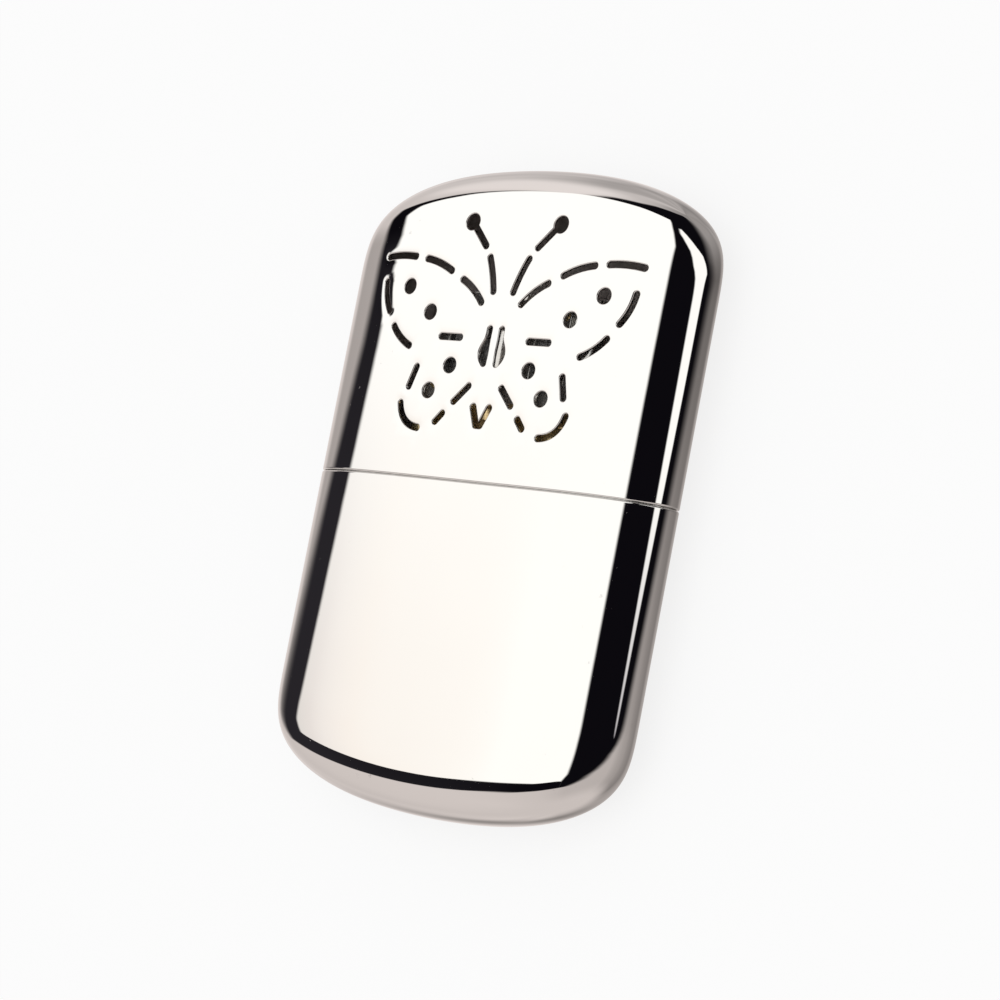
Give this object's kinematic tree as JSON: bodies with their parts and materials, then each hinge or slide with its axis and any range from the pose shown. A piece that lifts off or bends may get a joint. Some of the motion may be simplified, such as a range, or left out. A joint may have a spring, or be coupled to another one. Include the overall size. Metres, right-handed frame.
{
  "type": "catalytic hand warmer",
  "caption": "Flat oval pocket hand warmer: fuel tank with collar and filler neck, pull-off catalyst burner, and slide-off cap pierced with a butterfly vent figure.",
  "frame": {"origin": "under the middle of the case, on the flat strip of its back, where it rests when it lies down", "axes": "+Z out of the pierced front, +Y along the case towards the top of the cap, +X across the width"},
  "size_m": [0.07, 0.1, 0.0128],
  "materials": {
    "case_chrome": "mirror-polished plate",
    "collar_chrome": "bright plate with fine sliding marks",
    "fitting_brass": "bright brass, slightly heat-toned",
    "burner_nickel": "nickel-plated stamping",
    "gauze_steel": "fine woven wire gauze",
    "catalyst_fibre": "dark glass-fibre mat",
    "wick_felt": "dense white felt",
    "tank_cotton": "loose cotton batting"
  },
  "bodies": {
    "tank": {"tank_shell": "case_chrome", "tank_collar": "collar_chrome", "shoulder_plate": "collar_chrome", "filler_neck": "fitting_brass", "neck_grid": "burner_nickel", "felt_plug": "wick_felt", "cotton_upper": "tank_cotton", "cotton_lower": "tank_cotton"},
    "burner": {"burner_skirt": "fitting_brass", "vapour_plate": "fitting_brass", "front_grille": "burner_nickel", "back_grille": "burner_nickel", "left_end_channel": "burner_nickel", "right_end_channel": "burner_nickel", "burner_rivets": "fitting_brass", "gauze_liner": "gauze_steel", "catalyst_mat": "catalyst_fibre"},
    "cap": {"cap_shell": "case_chrome"}
  },
  "joints": [
    {"name": "cap_slide", "type": "slide", "parent": "tank", "child": "cap", "axis": [0, 1, 0], "range_m": [0, 0.06]},
    {"name": "burner_slide", "type": "slide", "parent": "tank", "child": "burner", "axis": [0, 1, 0], "range_m": [0, 0.01]}
  ]
}
